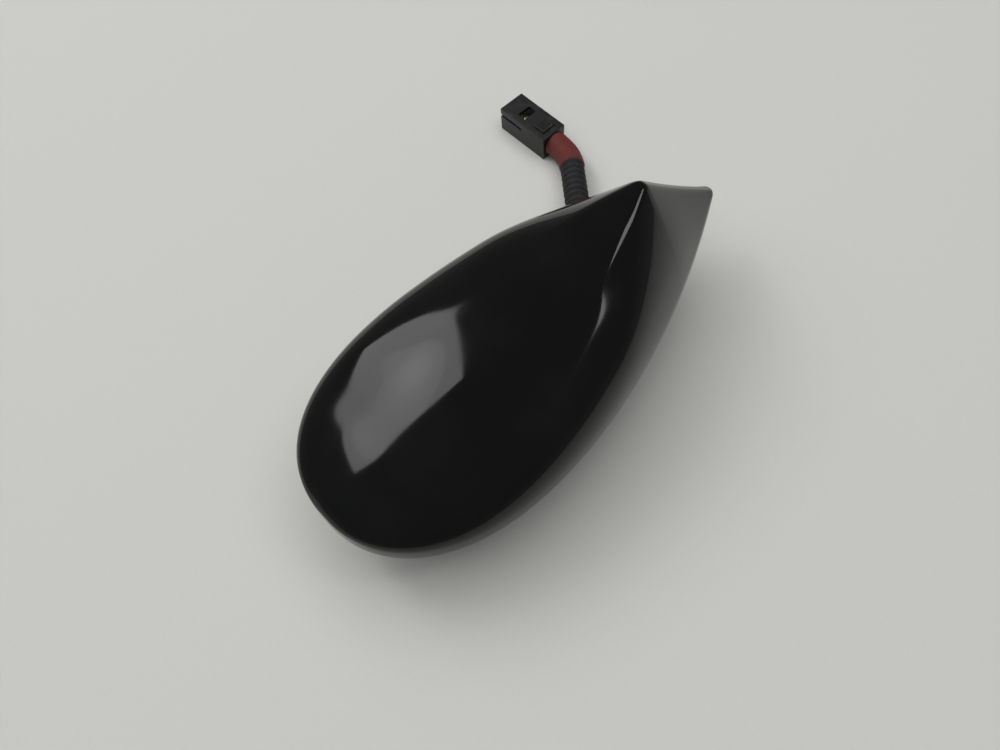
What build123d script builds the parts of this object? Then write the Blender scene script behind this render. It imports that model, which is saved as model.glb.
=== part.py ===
"""Shark fin roof aerial for a car: glossy fin cover, die-cast base, aerials, clamp and pigtail.

Millimetres. The origin is the middle of the roof hole at the roof skin: +X points to the nose,
+Z up, and everything below zero lies inside the car. Places along the fin are given as a
distance back from the nose.
"""

import os
from math import acos, cos, radians, sin, sqrt, tan

from build123d import *

# Fin cover, outside
LENGTH = 130.0
WIDTH = 60.0
HEIGHT = 32.4  # fin tip above the roof
NOSE_TO_MOUNT = 62.0  # nose to the roof hole
WIDEST_BACK = 41.5  # nose to the widest place
NOSE_POWER = 2.26  # 2 is an ellipse, more is blunter
TAIL_POWER = 1.79  # 1 is a straight taper, more is fuller
TAIL_HALF = 1.4  # half the width of the tail's end
SKIRT_HEIGHT = 3.1
NOSE_RISE = 10.3  # dome above the skirt
NOSE_RUN = 50.0
FIN_START = 18.5  # where the back of the dome begins to climb
FIN_POWER = 1.25
TIP_RAKE = 30.0  # tail's end to the fin tip
TIP_SHIFT = 0.32  # inner tip ahead of the outer one, for each millimetre of wall
TRAIL_HOLLOW = 0.7  # hollow of the trailing edge
TAIL_RISE = 0.3  # trailing edge above the skirt at the tail's end
SHOULDER_HALF = 13.1  # half the width between the two creases, at the widest place
TIP_HALF = 1.1
CREASE_START = 70.0  # where the creases begin to show; at the tip they are at full strength
SPINE_CROWN = 0.03  # drop of the spine at the crease, over its half width
DOME_FULL = 1.67  # 1 is an ellipse, more bulges further at the foot
FLANK_BULGE = 0.028  # bulge of the fin's flank, for each millimetre of its rise
MOST_BULGE = 0.9
FLANK_EASE = 10.0  # ahead of the fin tip and behind it, where the flank runs on smoothly

# Walls and fits
COVER_WALL = 2.0
PLATE_FIT = 0.25  # base plate inside the cover
SLIP = 0.05  # pins, spigots and screws in their holes

# Gasket under the rim, and seal round the roof hole
GASKET_THICK = 1.2
GASKET_INSET = 1.0
GASKET_LAND = 3.5
HOLE_SEAL_LAND = 5.5
HOLE_SEAL_FIT = 0.5

# Base plate and its pedestal
PLATE_THICK = 2.5
PEDESTAL_LENGTH = 24.0
PEDESTAL_WIDTH = 18.0
PEDESTAL_DEPTH = 12.0  # below the roof skin
PEDESTAL_ROUND = 4.0
PASSAGE_LENGTH = 7.0
PASSAGE_WIDTH = 10.0
PASSAGE_WALL = 2.0

# Clamp
BOLT_AHEAD = 5.5  # bolt ahead of the roof hole's middle
BOLT_RADIUS = 3.0
BOLT_REACH = 8.5  # thread inside the pedestal
BOLT_FLANGE_RADIUS = 6.5
BOLT_FLANGE_THICK = 1.4
BOLT_HEX = 10.0
BOLT_HEAD = 4.6
CLAW_THICK = 1.2
CLAW_ARM = 8.0  # width of an arm
CLAW_SPREAD = 5.0  # how far an arm stands off the pedestal
ROOF_GAP = 2.5  # roof skin to the tips of the claw
CLAW_BEND = 2.5
TOOTH_PITCH = 2.0

# Circuit board
BOARD_INSET = 10.0
BOARD_THICK = 1.6
BOARD_LIFT = 2.4
BOARD_POST_RADIUS = 2.6
BOARD_SCREW_MARGIN = 3.0  # from a patch, and from the board's edge
BOARD_SCREW_RADIUS = 1.0
BOARD_SCREW_HEAD = 1.9
BOARD_SCREW_REACH = 3.5
BOARD_SCREW_HEAD_THICK = 1.2

# Cover screws
COVER_SCREW_RADIUS = 1.25
COVER_SCREW_HEAD = 2.5
COVER_SCREW_REACH = 3.6  # thread inside a cover post
COVER_POST_RADIUS = 2.5
FRONT_SCREW_BACK = 7.0
SIDE_SCREW_INSET = 5.8
REAR_SCREW_AHEAD = 18.5  # tail's end to the rear screw

# Aerials
SATELLITE_SIDE = 25.0
SATELLITE_BACK = 43.0
NAVIGATION_SIDE = 18.0
NAVIGATION_GAP = 2.5  # between the two patches
PATCH_THICK = 4.0
PATCH_CORNER = 1.0
ELECTRODE_MARGIN = 2.0
ELECTRODE_THICK = 0.2
ELECTRODE_CHAMFER = 2.5
FEED_RADIUS = 0.5
FEED_OFFSET = 2.5
FEED_HEAD = 1.1
FEED_HEAD_THICK = 0.4
RADIATOR_THICK = 0.8
RADIATOR_GAP = 9.5  # behind the navigation aerial
RADIATOR_BEHIND = 4.0  # behind the fin tip
RADIATOR_CLEAR = 1.2  # below the inside of the spine
RADIATOR_SLIT = 1.0
SLIT_PITCH = 4.5
HOLDER_WIDTH = 6.0
HOLDER_HEIGHT = 5.0
HOLDER_FLOOR = 1.2
SPRING_WIDTH = 2.0
SPRING_THICK = 0.3
SPRING_FOOT = 4.0
CAN_LENGTH = 18.0
CAN_WIDTH = 16.0
CAN_HEIGHT = 1.8
CAN_SHEET = 0.3

# Pigtail: conduit, red sleeve and connector
CONDUIT_RADIUS = 3.55
CONDUIT_START = 1.0  # behind the pedestal's back wall
EXIT_DEPTH = 6.5  # below the roof skin
EXIT_SIDE = -1.5  # where the conduit crosses the pedestal's back wall
EXIT_TURN = 25.0  # degrees from straight back
COLLAR_RADIUS = 6.2
COLLAR_FLANGE = 2.0
COLLAR_END_RADIUS = 4.6
COLLAR_LENGTH = 9.0
SPIGOT_RADIUS = 4.7
LEAD_RADIUS = 1.3
LEAD_PITCH = 3.0
LEAD_BEND = 4.0
SLEEVE_RADIUS = 3.75
SLEEVE_RUN = 6.5  # straight length of sleeve on the conduit
ROUTE_OUT = 24.3  # straight run from the pedestal
ROUTE_SIDE = Vector(-48.5, -29.0, -10.0)
SLEEVE_BEND_BACK = 63.4  # behind the roof hole's middle
SLEEVE_BEND_SIDE = -46.3
CONNECTOR_RUN = 7.0  # from the sleeve's bend to the connector
CONNECTOR_LENGTH = 18.5
CONNECTOR_WIDTH = 8.8
CONNECTOR_HEIGHT = 8.2
CONNECTOR_WALL = 1.2
CONNECTOR_ROUND = 0.8
SOCKET_DEPTH = 11.0
FERRULE_RADIUS = 2.3
FERRULE_WALL = 0.5
FERRULE_SEAT = 5.0  # behind the socket's floor
FERRULE_REACH = 4.5  # into the socket
PIN_RADIUS = 0.5
LOCK_LENGTH = 4.0
LOCK_WIDTH = 5.0
LOCK_DEPTH = 0.8
LOCK_PROUD = 0.5
WINDOW_LENGTH = 3.0
WINDOW_WIDTH = 4.6
WINDOW_FROM_MOUTH = 7.0

# Levels and places that follow from the sizes above
RIM = GASKET_THICK
SKIRT_TOP = RIM + SKIRT_HEIGHT
PLATE_TOP = RIM + PLATE_THICK
BOARD_UNDER = PLATE_TOP + BOARD_LIFT
BOARD_TOP = BOARD_UNDER + BOARD_THICK
PATCH_TOP = BOARD_TOP + PATCH_THICK
CLAW_UNDER = -PEDESTAL_DEPTH - CLAW_THICK
LYING_LEVEL = CLAW_UNDER - BOLT_FLANGE_THICK - BOLT_HEAD  # what the bolt and connector lie on
SLEEVE_BEND = Vector(-SLEEVE_BEND_BACK, SLEEVE_BEND_SIDE, LYING_LEVEL + CONNECTOR_HEIGHT / 2)
FIN_RISE = HEIGHT - SKIRT_TOP - NOSE_RISE
TIP_BACK = LENGTH - TIP_RAKE
NAVIGATION_BACK = SATELLITE_BACK + (SATELLITE_SIDE + NAVIGATION_SIDE) / 2 + NAVIGATION_GAP
RADIATOR_FRONT = NAVIGATION_BACK + NAVIGATION_SIDE / 2 + RADIATOR_GAP
RADIATOR_END = TIP_BACK + RADIATOR_BEHIND
BOTTOM = (Align.CENTER, Align.CENTER, Align.MIN)
TOP = (Align.CENTER, Align.CENTER, Align.MAX)


def place(back, side=0.0, height=0.0):
    """A point given by its distance back from the nose."""
    return Vector(NOSE_TO_MOUNT - back, side, height)


# Form of the fin: each function takes a distance back from the nose and an inset into the wall
def half_width(back, inset=0.0):
    """Half the plan width: a blunt ellipse to the widest place, then a taper to the tail."""
    widest = WIDTH / 2 - inset
    if back < WIDEST_BACK:
        share = min(1.0, (WIDEST_BACK - back) / (WIDEST_BACK - inset))
        return widest * (1 - share**NOSE_POWER) ** (1 / NOSE_POWER)
    share = (back - WIDEST_BACK) / (tail_end(inset) - WIDEST_BACK)
    return TAIL_HALF + (widest - TAIL_HALF) * (1 - share**TAIL_POWER)


def tail_end(inset):
    """Where the tail's end lies, from the nose; the taper moves it by about twice the inset."""
    return LENGTH - 2 * inset


def tip_back(inset):
    """Where the fin tip lies, from the nose; inside the wall it moves a little forward."""
    return TIP_BACK - TIP_SHIFT * inset


def spine_rise(back, inset=0.0):
    """Height of the spine above the skirt: dome and fin up to the tip, then the trailing edge."""
    tip, end = tip_back(inset), tail_end(inset)
    ahead = min(back, tip)
    dome = sqrt(1 - max(0.0, (NOSE_RUN - ahead) / (NOSE_RUN - inset)) ** 2)
    climb = max(0.0, (ahead - FIN_START) / (TIP_BACK - FIN_START)) ** FIN_POWER
    rising = (NOSE_RISE - inset) * dome + FIN_RISE * climb
    if back <= tip:
        return rising
    share = (back - tip) / (end - tip)
    return rising + (TAIL_RISE - rising) * share - TRAIL_HOLLOW * 4 * share * (1 - share)


def crease_half(back, inset=0.0):
    """Half the width of the spine between its creases."""
    if back < WIDEST_BACK:
        return SHOULDER_HALF / (WIDTH / 2) * half_width(back, inset)
    share = min(1.0, (back - WIDEST_BACK) / (TIP_BACK - WIDEST_BACK))
    tip = TIP_HALF * (1 - inset / (2 * COVER_WALL))
    return tip + (SHOULDER_HALF * (1 - 2 * inset / WIDTH) - tip) * (1 - share**2)


def fin_share(back):
    """How far the section has changed from a plain dome, 0, to a creased fin, 1, at the tip."""
    share = min(1.0, max(0.0, (back - CREASE_START) / (TIP_BACK - CREASE_START)))
    return share * share * (3 - 2 * share)


def eased(size, back, inset):
    """Mean of a size over a stretch ahead and behind, so that a flank has no fold at the tip."""
    near = max(0.0, min(FLANK_EASE, back - inset, tail_end(inset) - back))
    steps = range(-4, 5)
    return sum(size(back + near * step / 4, inset) * (5 - abs(step)) for step in steps) / 25


def draw_section(back, inset=0.0, bottom=RIM):
    """One closed section across the car: skirt, flank, spine, flank and skirt."""
    wide, rise = half_width(back, inset), spine_rise(back, inset)
    crease, fin = crease_half(back, inset), fin_share(back)
    dome_crease = rise * sqrt(1 - (crease / wide) ** 2)
    fin_crease = rise - min(SPINE_CROWN * crease, rise / 2)
    crease_rise = dome_crease * (1 - fin) + fin_crease * fin
    turn = acos(crease / wide)
    reach = 4 / 3 * tan(turn / 4)  # curve handle of an ellipse's arc
    dome_foot = Vector(wide, DOME_FULL * reach * rise)
    dome_neck = Vector(crease + reach * wide * sin(turn), crease_rise - reach * rise * cos(turn))
    eased_rise, eased_crease = eased(spine_rise, back, inset), eased(crease_half, back, inset)
    bulge = min(MOST_BULGE, FLANK_BULGE * eased_rise)
    third = (wide - eased_crease) / 3
    fin_foot = Vector(wide - third * (1 - bulge), eased_rise / 3)
    fin_neck = Vector(eased_crease + third * (1 + bulge), eased_rise * 2 / 3)
    foot = dome_foot * (1 - fin) + fin_foot * fin
    neck = dome_neck * (1 - fin) + fin_neck * fin
    low = bottom - SKIRT_TOP
    plane = Plane(place(back, 0, SKIRT_TOP), x_dir=(0, 1, 0), z_dir=(1, 0, 0))
    with BuildSketch(plane) as section:
        with BuildLine():
            Polyline((-wide, 0), (-wide, low), (wide, low), (wide, 0))
            Bezier((wide, 0), foot, neck, (crease, crease_rise))
            Bezier((crease, crease_rise), (0, 2 * rise - crease_rise), (-crease, crease_rise))
            Bezier((-crease, crease_rise), (-neck.X, neck.Y), (-foot.X, foot.Y), (-wide, 0))
        make_face()
    return section.sketch


def draw_plan(inset=0.0):
    """The plan outline, on the roof skin: a chain of arcs a side and a square tail."""
    steps = 12
    nose = [WIDEST_BACK - (WIDEST_BACK - inset) * cos(radians(90 * i / steps)) for i in range(steps)]
    tail = [WIDEST_BACK + (tail_end(inset) - WIDEST_BACK) * i / steps for i in range(steps + 1)]
    side = [place(back, half_width(back, inset)) for back in nose + tail]
    with BuildSketch() as plan:
        with BuildLine():
            for i in range(0, 2 * steps, 2):
                ThreePointArc(side[i], side[i + 1], side[i + 2])
            mirror(about=Plane.XZ)
            Line(side[-1], place(tail_end(inset), -TAIL_HALF))
        make_face()
    return plan.sketch


def fin_body(inset=0.0, bottom=RIM):
    """The solid fin: one loft from the nose to the tip, and one from the tip to the tail."""
    nose_angles = (3, 8, 17, 28, 41, 56, 73, 90)
    climb_steps = 10
    trail_steps = 5
    tip, end = tip_back(inset), tail_end(inset)
    front = [WIDEST_BACK - (WIDEST_BACK - inset) * cos(radians(angle)) for angle in nose_angles]
    front += [WIDEST_BACK + (tip - WIDEST_BACK) * (i + 1) / climb_steps for i in range(climb_steps)]
    rear = [tip + (end - tip) * i / trail_steps for i in range(trail_steps + 1)]
    with BuildPart() as body:
        loft([draw_section(back, inset, bottom) for back in front])
        loft([draw_section(back, inset, bottom) for back in rear])
    return body.part


def save(piece, name):
    """Label a finished piece and write its file."""
    piece.part.label = name
    export_step(piece.part, f"parts/{name}.step")


os.makedirs("parts", exist_ok=True)

# Fasteners' places
side_screw = half_width(NOSE_TO_MOUNT) - SIDE_SCREW_INSET
cover_screw_places = [
    place(FRONT_SCREW_BACK),
    place(NOSE_TO_MOUNT, side_screw),
    place(NOSE_TO_MOUNT, -side_screw),
    place(LENGTH - REAR_SCREW_AHEAD),
]
front_pair = SATELLITE_SIDE / 2 + BOARD_SCREW_MARGIN
rear_back = NAVIGATION_BACK + NAVIGATION_SIDE / 2 + BOARD_SCREW_MARGIN
rear_pair = half_width(rear_back) - BOARD_INSET - BOARD_SCREW_MARGIN
board_screw_places = [
    place(SATELLITE_BACK, front_pair),
    place(SATELLITE_BACK, -front_pair),
    place(rear_back, rear_pair),
    place(rear_back, -rear_pair),
]

# Fin cover: one glossy moulding, hollow, with screw posts that hang from its roof
with BuildPart() as cover_posts:
    with Locations([point + (0, 0, PLATE_TOP) for point in cover_screw_places]):
        Cylinder(COVER_POST_RADIUS, LENGTH, align=BOTTOM)
    add(fin_body(COVER_WALL / 2), mode=Mode.INTERSECT)
    with Locations([point + (0, 0, PLATE_TOP) for point in cover_screw_places]):
        depth = COVER_SCREW_REACH + SLIP
        Cylinder(COVER_SCREW_RADIUS + SLIP, depth, align=BOTTOM, mode=Mode.SUBTRACT)
with BuildPart() as fin_cover:
    add(fin_body())
    add(fin_body(COVER_WALL, RIM - 1), mode=Mode.SUBTRACT)
    add(cover_posts.part)
save(fin_cover, "fin_cover")

# Rim gasket: a flat rubber ring under the cover's rim and the edge of the base plate
with BuildPart() as rim_gasket:
    with BuildSketch():
        add(draw_plan(GASKET_INSET))
    extrude(amount=GASKET_THICK)
    with BuildSketch():
        add(draw_plan(GASKET_INSET + GASKET_LAND))
    extrude(amount=GASKET_THICK, mode=Mode.SUBTRACT)
save(rim_gasket, "rim_gasket")

# Hole seal: a soft ring round the pedestal, pressed on the roof skin
seal_length = PEDESTAL_LENGTH + 2 * HOLE_SEAL_FIT
seal_width = PEDESTAL_WIDTH + 2 * HOLE_SEAL_FIT
with BuildPart() as hole_seal:
    with BuildSketch():
        land = HOLE_SEAL_LAND
        RectangleRounded(seal_length + 2 * land, seal_width + 2 * land, PEDESTAL_ROUND + land)
        RectangleRounded(seal_length, seal_width, PEDESTAL_ROUND, mode=Mode.SUBTRACT)
    extrude(amount=GASKET_THICK)
save(hole_seal, "hole_seal")

# Where the pigtail leaves the pedestal's back wall
exit_turn = radians(EXIT_TURN)
exit_axis = Vector(-cos(exit_turn), -sin(exit_turn), 0)
exit_point = Vector(-PEDESTAL_LENGTH / 2, EXIT_SIDE, -EXIT_DEPTH)
exit_plane = Plane(exit_point, x_dir=(0, 0, 1), z_dir=exit_axis)
passage_middle = -PEDESTAL_LENGTH / 2 + PASSAGE_WALL + PASSAGE_LENGTH / 2
spigot_length = PASSAGE_WALL / cos(exit_turn)

# Base plate: a die casting with the pedestal that goes through the roof, and posts for the board
with BuildPart() as base_plate:
    with BuildSketch(Plane.XY.offset(RIM)):
        add(draw_plan(COVER_WALL + PLATE_FIT))
    extrude(amount=PLATE_THICK)
    with BuildSketch(Plane.XY.offset(-PEDESTAL_DEPTH)):
        RectangleRounded(PEDESTAL_LENGTH, PEDESTAL_WIDTH, PEDESTAL_ROUND)
    extrude(amount=PEDESTAL_DEPTH + RIM)
    with Locations([point + (0, 0, PLATE_TOP) for point in board_screw_places]):
        Cylinder(BOARD_POST_RADIUS, BOARD_LIFT, align=BOTTOM)
    with Locations([point + (0, 0, BOARD_UNDER) for point in board_screw_places]):
        depth = BOARD_SCREW_REACH + SLIP
        Cylinder(BOARD_SCREW_RADIUS + SLIP, depth, align=TOP, mode=Mode.SUBTRACT)
    with Locations([point + (0, 0, RIM) for point in cover_screw_places]):
        cone = COVER_SCREW_HEAD - COVER_SCREW_RADIUS
        Cylinder(COVER_SCREW_RADIUS + SLIP, PLATE_THICK, align=BOTTOM, mode=Mode.SUBTRACT)
        Cone(
            COVER_SCREW_HEAD + SLIP,
            COVER_SCREW_RADIUS + SLIP,
            cone,
            align=BOTTOM,
            mode=Mode.SUBTRACT,
        )
    with Locations((BOLT_AHEAD, 0, -PEDESTAL_DEPTH)):
        Cylinder(BOLT_RADIUS + SLIP, BOLT_REACH + 1, align=BOTTOM, mode=Mode.SUBTRACT)
    with Locations((passage_middle, 0, PLATE_TOP)):
        depth = PLATE_TOP + PEDESTAL_DEPTH - PASSAGE_WALL
        Box(PASSAGE_LENGTH, PASSAGE_WIDTH, depth, align=TOP, mode=Mode.SUBTRACT)
    with Locations(exit_plane):
        Cylinder(SPIGOT_RADIUS + SLIP, 2 * spigot_length + SPIGOT_RADIUS, mode=Mode.SUBTRACT)
save(base_plate, "base_plate")

# Cover screws: countersunk, up through the base plate into the cover's posts
with BuildPart() as cover_screws:
    with Locations([point + (0, 0, RIM) for point in cover_screw_places]):
        Cylinder(COVER_SCREW_RADIUS, PLATE_THICK + COVER_SCREW_REACH, align=BOTTOM)
        Cone(COVER_SCREW_HEAD, COVER_SCREW_RADIUS, cone, align=BOTTOM)
save(cover_screws, "cover_screws")

# Clamp claw: a strip of spring steel, bent up at both ends, with teeth that bite under the roof
arm_foot = PEDESTAL_WIDTH / 2 + CLAW_BEND
arm_top = PEDESTAL_WIDTH / 2 + CLAW_SPREAD
with BuildPart() as clamp_claw:
    with BuildSketch(Plane.YZ.offset(BOLT_AHEAD - CLAW_ARM / 2)):
        middle = -PEDESTAL_DEPTH - CLAW_THICK / 2
        with BuildLine():
            FilletPolyline(
                (-arm_top, -ROOF_GAP),
                (-arm_foot, middle),
                (arm_foot, middle),
                (arm_top, -ROOF_GAP),
                radius=CLAW_BEND,
            )
        trace(line_width=CLAW_THICK)
    extrude(amount=CLAW_ARM)
    with Locations((BOLT_AHEAD, 0, -PEDESTAL_DEPTH)):
        Cylinder(BOLT_RADIUS + SLIP, 2 * CLAW_THICK + 1, mode=Mode.SUBTRACT)
    with BuildSketch(Plane.XZ.offset(-arm_top - CLAW_SPREAD)):
        with Locations((BOLT_AHEAD, -ROOF_GAP)):
            with GridLocations(TOOTH_PITCH, 0, 3, 1):
                Triangle(a=TOOTH_PITCH, B=45, C=45, align=(Align.CENTER, Align.MAX), rotation=180)
    extrude(amount=2 * (arm_top + CLAW_SPREAD), mode=Mode.SUBTRACT)
save(clamp_claw, "clamp_claw")

# Mounting bolt: hexagon head with a flange, from below through the claw into the pedestal
with BuildPart() as mounting_bolt:
    with Locations((BOLT_AHEAD, 0, CLAW_UNDER)):
        Cylinder(BOLT_RADIUS, CLAW_THICK + BOLT_REACH, align=BOTTOM)
        Cylinder(BOLT_FLANGE_RADIUS, BOLT_FLANGE_THICK, align=TOP)
    with BuildSketch(Plane.XY.offset(CLAW_UNDER - BOLT_FLANGE_THICK)):
        with Locations((BOLT_AHEAD, 0)):
            RegularPolygon(BOLT_HEX / 2, 6, major_radius=False)
    extrude(amount=-BOLT_HEAD)
save(mounting_bolt, "mounting_bolt")

# Circuit board: follows the plan, ends behind the upright aerial, on the base plate's posts
feed_places = [place(SATELLITE_BACK + FEED_OFFSET), place(NAVIGATION_BACK + FEED_OFFSET)]
board_end = RADIATOR_END + SPRING_WIDTH
with BuildPart() as circuit_board:
    with BuildSketch(Plane.XY.offset(BOARD_UNDER)):
        add(draw_plan(BOARD_INSET))
        with Locations(place(board_end)):
            Rectangle(LENGTH, WIDTH, align=(Align.MIN, Align.CENTER), mode=Mode.INTERSECT)
    extrude(amount=BOARD_THICK)
    with Locations([point + (0, 0, BOARD_UNDER) for point in board_screw_places]):
        Cylinder(BOARD_SCREW_RADIUS + SLIP, BOARD_THICK, align=BOTTOM, mode=Mode.SUBTRACT)
    with Locations([point + (0, 0, BOARD_UNDER) for point in feed_places]):
        Cylinder(FEED_RADIUS + SLIP, BOARD_THICK, align=BOTTOM, mode=Mode.SUBTRACT)
save(circuit_board, "circuit_board")

# Board screws: pan heads, down through the board into the posts
with BuildPart() as board_screws:
    with Locations([point + (0, 0, BOARD_TOP) for point in board_screw_places]):
        Cylinder(BOARD_SCREW_RADIUS, BOARD_THICK + BOARD_SCREW_REACH, align=TOP)
        Cylinder(BOARD_SCREW_HEAD, BOARD_SCREW_HEAD_THICK, align=BOTTOM)
save(board_screws, "board_screws")

# Shield can: a folded tin lid over the amplifier, soldered under the board
with BuildPart() as shield_can:
    with Locations(place(SATELLITE_BACK, 0, BOARD_UNDER)):
        Box(CAN_LENGTH, CAN_WIDTH, CAN_HEIGHT, align=TOP)
        length, width = CAN_LENGTH - 2 * CAN_SHEET, CAN_WIDTH - 2 * CAN_SHEET
        Box(length, width, CAN_HEIGHT - CAN_SHEET, align=TOP, mode=Mode.SUBTRACT)
save(shield_can, "shield_can")

# Patch aerials: a ceramic block with a plated top, for satellite radio and for navigation
for name, back, side in (
    ("satellite", SATELLITE_BACK, SATELLITE_SIDE),
    ("navigation", NAVIGATION_BACK, NAVIGATION_SIDE),
):
    with BuildPart() as patch:
        with Locations(place(back, 0, BOARD_TOP)):
            Box(side, side, PATCH_THICK, align=BOTTOM)
        chamfer(patch.edges().filter_by(Axis.Z), PATCH_CORNER)
        with Locations(place(back + FEED_OFFSET, 0, BOARD_TOP)):
            Cylinder(FEED_RADIUS + SLIP, PATCH_THICK, align=BOTTOM, mode=Mode.SUBTRACT)
    save(patch, f"{name}_patch")
    plated = side - 2 * ELECTRODE_MARGIN
    with BuildPart() as electrode:
        with Locations(place(back, 0, PATCH_TOP)):
            Box(plated, plated, ELECTRODE_THICK, align=BOTTOM)
        corners = electrode.edges().filter_by(Axis.Z).sort_by(lambda edge: edge.center().X + edge.center().Y)
        chamfer([corners[0], corners[-1]], ELECTRODE_CHAMFER)
        with Locations(place(back + FEED_OFFSET, 0, PATCH_TOP)):
            Cylinder(FEED_RADIUS + SLIP, ELECTRODE_THICK, align=BOTTOM, mode=Mode.SUBTRACT)
    save(electrode, f"{name}_electrode")

# Feed pins: from the board's underside through each patch, headed with solder on the electrode
with BuildPart() as feed_pins:
    with Locations([point + (0, 0, BOARD_UNDER) for point in feed_places]):
        Cylinder(FEED_RADIUS, BOARD_THICK + PATCH_THICK + ELECTRODE_THICK, align=BOTTOM)
    with Locations([point + (0, 0, PATCH_TOP + ELECTRODE_THICK) for point in feed_places]):
        Cone(FEED_HEAD, FEED_HEAD / 2, FEED_HEAD_THICK, align=BOTTOM)
save(feed_pins, "feed_pins")

# Upright aerial for radio and phone: a slit metal blade under the fin tip
radiator_foot = BOARD_TOP + HOLDER_FLOOR
radiator_length = RADIATOR_END - RADIATOR_FRONT
with BuildPart() as fin_radiator:
    with BuildSketch(Plane.XZ):
        with BuildLine():
            backs = sorted((RADIATOR_FRONT, tip_back(COVER_WALL), RADIATOR_END))
            tops = [
                (place(b).X, SKIRT_TOP + spine_rise(b, COVER_WALL) - RADIATOR_CLEAR) for b in backs
            ]
            front, end = place(RADIATOR_FRONT).X, place(RADIATOR_END).X
            Polyline((front, radiator_foot), *tops, (end, radiator_foot), close=True)
        make_face()
    extrude(amount=RADIATOR_THICK / 2, both=True)
    slit_height = tops[0][1] - radiator_foot - HOLDER_HEIGHT
    with BuildSketch(Plane.XZ):
        slits = max(1, round(radiator_length / SLIT_PITCH) - 1)
        step = radiator_length / (slits + 1)
        for i in range(slits):
            lift = radiator_foot + HOLDER_HEIGHT + (i % 2) * RADIATOR_SLIT * 2
            with Locations((front - step * (i + 1), lift)):
                Rectangle(RADIATOR_SLIT, slit_height - RADIATOR_SLIT * 3, align=(Align.CENTER, Align.MIN))
    extrude(amount=RADIATOR_THICK, both=True, mode=Mode.SUBTRACT)
save(fin_radiator, "fin_radiator")

# Radiator holder: a slotted plastic block on the board that grips the blade's foot
with BuildPart() as radiator_holder:
    with Locations(place((RADIATOR_FRONT + RADIATOR_END) / 2, 0, BOARD_TOP)):
        Box(radiator_length, HOLDER_WIDTH, HOLDER_HEIGHT, align=BOTTOM)
    chamfer(radiator_holder.edges().filter_by(Axis.X).group_by(Axis.Z)[-1], HOLDER_FLOOR)
    with Locations(place((RADIATOR_FRONT + RADIATOR_END) / 2, 0, radiator_foot)):
        Box(radiator_length, RADIATOR_THICK + 2 * SLIP, LENGTH, align=BOTTOM, mode=Mode.SUBTRACT)
save(radiator_holder, "radiator_holder")

# Feed spring: a bent strip from the board to the blade's front edge
with BuildPart() as feed_spring:
    with BuildSketch(Plane.XZ):
        with Locations((front, BOARD_TOP)):
            Rectangle(SPRING_FOOT, SPRING_THICK, align=(Align.MIN, Align.MIN))
            Rectangle(SPRING_THICK, HOLDER_HEIGHT, align=(Align.MIN, Align.MIN))
    extrude(amount=SPRING_WIDTH / 2, both=True)
save(feed_spring, "feed_spring")

# Conduit collar: a rubber strain relief, seated on the pedestal's back wall
with BuildPart() as conduit_collar:
    with Locations(exit_plane):
        Cylinder(COLLAR_RADIUS, 2 * COLLAR_FLANGE + COLLAR_RADIUS)
    cone_length = COLLAR_LENGTH - COLLAR_FLANGE - COLLAR_RADIUS / 2
    with Locations(exit_plane.offset(COLLAR_FLANGE + COLLAR_RADIUS / 2)):
        Cone(COLLAR_RADIUS, COLLAR_END_RADIUS, cone_length, align=BOTTOM)
    split(bisect_by=Plane(exit_point, z_dir=(-1, 0, 0)), keep=Keep.TOP)
    with Locations(exit_plane):
        Cylinder(SPIGOT_RADIUS, spigot_length + 1, align=TOP)
        Cylinder(CONDUIT_RADIUS + SLIP, 4 * COLLAR_LENGTH, mode=Mode.SUBTRACT)
save(conduit_collar, "conduit_collar")

# Route of the pigtail: straight out of the collar, round to the side, and into the connector
connector_back = SLEEVE_BEND + (0, -CONNECTOR_RUN, 0)
sleeve_start = SLEEVE_BEND + (ROUTE_SIDE - SLEEVE_BEND).normalized() * SLEEVE_RUN
conduit_route = [
    exit_point + exit_axis * CONDUIT_START,
    exit_point + exit_axis * ROUTE_OUT,
    ROUTE_SIDE,
    sleeve_start,
]
sleeve_route = [sleeve_start, SLEEVE_BEND, connector_back]


def bend_radii(route):
    """The largest even bend at each corner of a route."""
    radii = []
    for before, corner, after in zip(route, route[1:], route[2:]):
        turn = radians((corner - before).get_angle(after - corner))
        shorter = min((corner - before).length, (after - corner).length)
        radii.append(0.45 * shorter / tan(turn / 2))
    return radii


def tube(route, radius):
    """A round solid along straight runs and tangent bends."""
    radii = bend_radii(route)
    with BuildPart() as run:
        with BuildLine() as path:
            FilletPolyline(*route, radius=radii)
        with BuildSketch(Plane(route[0], z_dir=route[1] - route[0])):
            Circle(radius)
        sweep()
    length = path.wire().length
    print("bends", [round(r, 1) for r in radii], "length", round(length, 1))
    print("volume over section times length", round(run.part.volume / (3.14159 * radius**2 * length), 4))
    return run


save(tube(conduit_route, CONDUIT_RADIUS), "conduit")
save(tube(sleeve_route, SLEEVE_RADIUS), "red_sleeve")

# Coaxial leads: side by side, from the board down the pedestal and through the collar
lead_side = Vector(-exit_axis.Y, exit_axis.X, 0) * (LEAD_PITCH / 2)
lead_corner = exit_point - exit_axis * ((passage_middle + PEDESTAL_LENGTH / 2) / cos(exit_turn))
with BuildPart() as coax_leads:
    for offset in (lead_side, lead_side * -1):
        corner = lead_corner + offset
        top = Vector(corner.X, corner.Y, BOARD_UNDER)
        with BuildLine():
            FilletPolyline(top, corner, conduit_route[0] + offset, radius=LEAD_BEND)
        with BuildSketch(Plane(top, z_dir=(0, 0, -1))):
            Circle(LEAD_RADIUS)
        sweep()
save(coax_leads, "coax_leads")

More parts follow.
